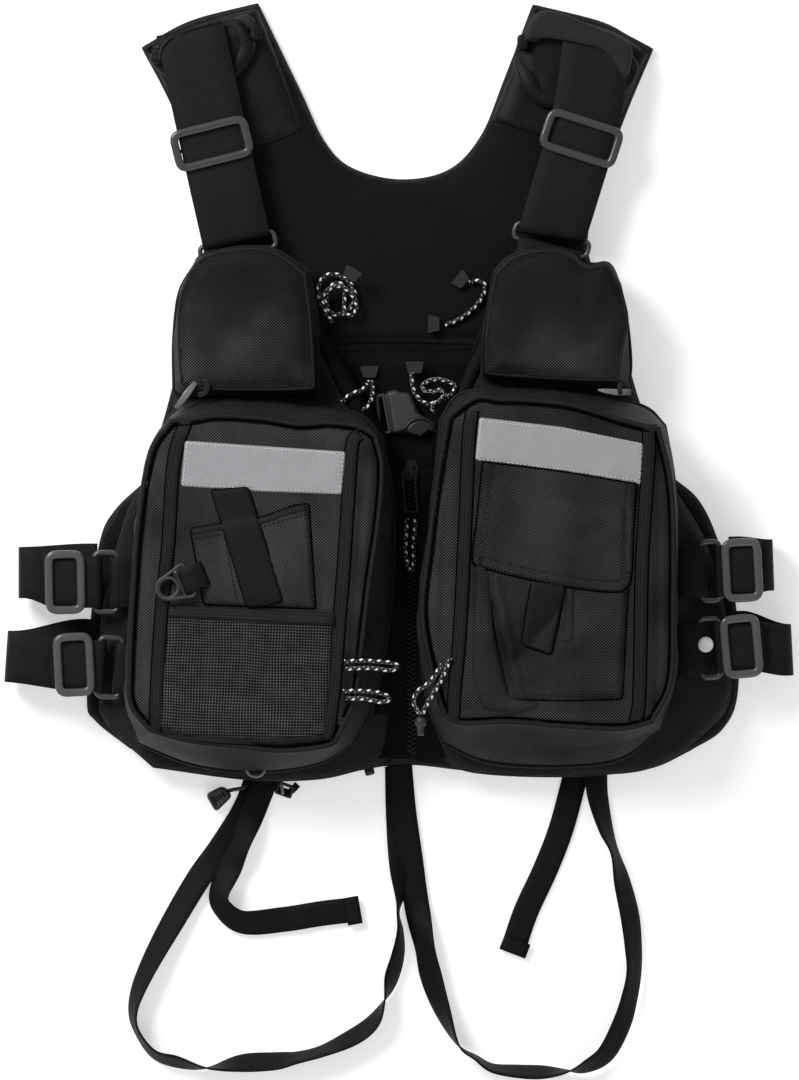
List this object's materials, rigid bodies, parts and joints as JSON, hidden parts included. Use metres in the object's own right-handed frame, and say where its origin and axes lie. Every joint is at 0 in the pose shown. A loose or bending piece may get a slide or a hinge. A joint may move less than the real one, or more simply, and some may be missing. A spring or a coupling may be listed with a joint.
{
  "type": "harness vest",
  "caption": "Black sleeveless harness vest laid flat, with zipped pockets, slide-buckle webbing straps, corded zip pulls and leg loops.",
  "frame": {"origin": "on the rear face of the back panel, level with the lower ends of the chest pockets, on the vest's middle line", "axes": "+Z out of the back panel towards the front panels, +Y towards the neck, +X to the right seen from the front"},
  "size_m": [0.5776, 0.7907, 0.0889],
  "materials": {
    "pack_cloth": "matte woven polyester, polyurethane backed",
    "mesh_lining": "knitted mesh",
    "webbing": "ribbed polypropylene webbing",
    "foam": "closed cell foam",
    "black_plastic": "moulded acetal, light sheen",
    "zip": "woven tape with moulded teeth",
    "grey_metal": "painted die cast pull",
    "reflective": "silver grey reflective tape",
    "pull_cord": "black elastic cord with white tracers"
  },
  "bodies": {
    "back_panel": {"back_cover": "pack_cloth", "back_foam": "foam", "back_lining": "mesh_lining", "shoulder_pads": "pack_cloth", "strap_keepers": "pack_cloth", "side_straps": "webbing", "hem_fittings": "black_plastic", "leg_strap_anchors": "webbing", "shoulder_straps": "webbing"},
    "leg_straps": {"crotch_strap": "webbing", "leg_strap_left": "webbing", "leg_strap_right": "webbing", "leg_tail_left": "webbing", "leg_tail_right": "webbing"},
    "front_left": {"front_left_cover": "pack_cloth", "front_left_tabs": "webbing", "front_left_rings": "black_plastic", "chest_pocket_left": "pack_cloth", "main_pocket_left": "pack_cloth", "main_zip_left": "zip", "pull_cord_a": "pull_cord", "pull_cord_c": "pull_cord", "cord_grips_left": "black_plastic", "buckle_plug": "black_plastic"},
    "front_right": {"front_right_cover": "pack_cloth", "front_right_tabs": "webbing", "front_right_rings": "black_plastic", "chest_pocket_right": "pack_cloth", "main_pocket_right": "pack_cloth", "main_zip_right": "zip", "pull_cord_b": "pull_cord", "pull_cord_d": "pull_cord", "cord_grips_right": "black_plastic"},
    "chest_lid_left": {"chest_lid_left": "pack_cloth"},
    "chest_lid_right": {"chest_lid_right": "pack_cloth"},
    "main_lid_left": {"main_lid_left": "pack_cloth", "reflective_strip_left": "reflective", "mesh_pocket": "mesh_lining", "tool_sleeve": "pack_cloth", "pull_cord_f": "pull_cord"},
    "main_lid_right": {"main_lid_right": "pack_cloth", "reflective_strip_right": "reflective", "flap_pocket": "pack_cloth", "pull_cord_g": "pull_cord", "cord_end_g": "black_plastic"},
    "tool_strap": {"tool_strap": "webbing"},
    "accessory_ring": {"accessory_ring": "black_plastic"},
    "pocket_flap": {"pocket_flap": "pack_cloth"},
    "pull_tab": {"pull_tab": "webbing"},
    "main_slider": {"main_slider": "black_plastic", "pull_cord_e": "pull_cord"},
    "chest_slider_left": {"chest_slider_left": "grey_metal"},
    "chest_slider_right": {"chest_slider_right": "grey_metal"},
    "buckle_socket": {"buckle_socket": "black_plastic"},
    "shoulder_buckle_left": {"shoulder_buckle_left": "black_plastic"},
    "shoulder_buckle_right": {"shoulder_buckle_right": "black_plastic"},
    "side_buckle_left_upper": {"side_buckle_left_upper": "black_plastic"},
    "side_buckle_left_lower": {"side_buckle_left_lower": "black_plastic"},
    "side_buckle_right_upper": {"side_buckle_right_upper": "black_plastic"},
    "side_buckle_right_lower": {"side_buckle_right_lower": "black_plastic"}
  },
  "joints": [
    {"name": "front_left_open", "type": "hinge", "parent": "back_panel", "child": "front_left", "pos_m": [-0.142, 0.248, 0.037], "axis": [-0.2041, -0.979, 0], "range_deg": [0, 60], "deforming": ["shoulder_straps", "side_straps", "main_zip_left"]},
    {"name": "front_right_open", "type": "hinge", "parent": "back_panel", "child": "front_right", "pos_m": [0.146, 0.248, 0.037], "axis": [-0.2213, 0.9752, 0], "range_deg": [0, 60], "deforming": ["main_zip_right"]},
    {"name": "chest_lid_left_open", "type": "hinge", "parent": "front_left", "child": "chest_lid_left", "pos_m": [-0.115, 0.0068, 0.0652], "axis": [1, 0, 0], "range_deg": [0, 90]},
    {"name": "chest_lid_right_open", "type": "hinge", "parent": "front_right", "child": "chest_lid_right", "pos_m": [0.063, 0.0178, 0.0652], "axis": [0.9984, -0.0565, 0], "range_deg": [0, 90]},
    {"name": "main_lid_left_open", "type": "hinge", "parent": "front_left", "child": "main_lid_left", "pos_m": [-0.103, -0.2602, 0.07215], "axis": [1, 0, 0], "range_deg": [0, 100]},
    {"name": "main_lid_right_open", "type": "hinge", "parent": "front_right", "child": "main_lid_right", "pos_m": [0.115, -0.25, 0.07215], "axis": [1, 0, 0], "range_deg": [0, 100]},
    {"name": "tool_strap_lift", "type": "hinge", "parent": "main_lid_left", "child": "tool_strap", "pos_m": [-0.1235, -0.065, 0.0842], "axis": [-0.9973, -0.0739, 0], "range_deg": [0, 110]},
    {"name": "accessory_ring_swing", "type": "hinge", "parent": "main_lid_left", "child": "accessory_ring", "pos_m": [-0.15363, -0.13119, 0.08495], "axis": [-0.3746, 0.9272, 0], "range_deg": [0, 90]},
    {"name": "pocket_flap_open", "type": "hinge", "parent": "main_lid_right", "child": "pocket_flap", "pos_m": [0.061, -0.046, 0.0863], "axis": [-0.9898, 0.1427, 0], "range_deg": [0, 120]},
    {"name": "pull_tab_lift", "type": "hinge", "parent": "pocket_flap", "child": "pull_tab", "pos_m": [0.097, -0.1346, 0.0863], "axis": [-0.9864, 0.1644, 0], "range_deg": [0, 90]},
    {"name": "main_slider_travel", "type": "slide", "parent": "front_right", "child": "main_slider", "axis": [0, -1, 0], "range_m": [0, 0.17]},
    {"name": "chest_slider_left_travel", "type": "slide", "parent": "front_left", "child": "chest_slider_left", "axis": [0, 1, 0], "range_m": [0, 0.03]},
    {"name": "chest_slider_right_travel", "type": "slide", "parent": "front_right", "child": "chest_slider_right", "axis": [-1, 0, 0], "range_m": [0, 0.015]},
    {"name": "buckle_release", "type": "slide", "parent": "front_right", "child": "buckle_socket", "axis": [0.9903, 0.1392, 0], "range_m": [0, 0.025]},
    {"name": "shoulder_buckle_left_travel", "type": "slide", "parent": "back_panel", "child": "shoulder_buckle_left", "axis": [-0.2164, 0.9763, 0], "range_m": [-0.04, 0.035]},
    {"name": "shoulder_buckle_right_travel", "type": "slide", "parent": "back_panel", "child": "shoulder_buckle_right", "axis": [0.2756, 0.9613, 0], "range_m": [-0.04, 0.035]},
    {"name": "side_buckle_left_upper_travel", "type": "slide", "parent": "front_left", "child": "side_buckle_left_upper", "axis": [-1, 0, 0], "range_m": [0, 0.012]},
    {"name": "side_buckle_left_lower_travel", "type": "slide", "parent": "front_left", "child": "side_buckle_left_lower", "axis": [-0.9976, 0.0698, 0], "range_m": [0, 0.02]},
    {"name": "side_buckle_right_upper_travel", "type": "slide", "parent": "front_right", "child": "side_buckle_right_upper", "axis": [0.9994, 0.0349, 0], "range_m": [0, 0.01]},
    {"name": "side_buckle_right_lower_travel", "type": "slide", "parent": "front_right", "child": "side_buckle_right_lower", "axis": [0.9986, 0.0523, 0], "range_m": [0, 0.016]},
    {"name": "leg_straps_swing", "type": "hinge", "parent": "back_panel", "child": "leg_straps", "pos_m": [0, -0.285, 0.0012], "axis": [-1, 0, 0], "range_deg": [0, 90]}
  ]
}
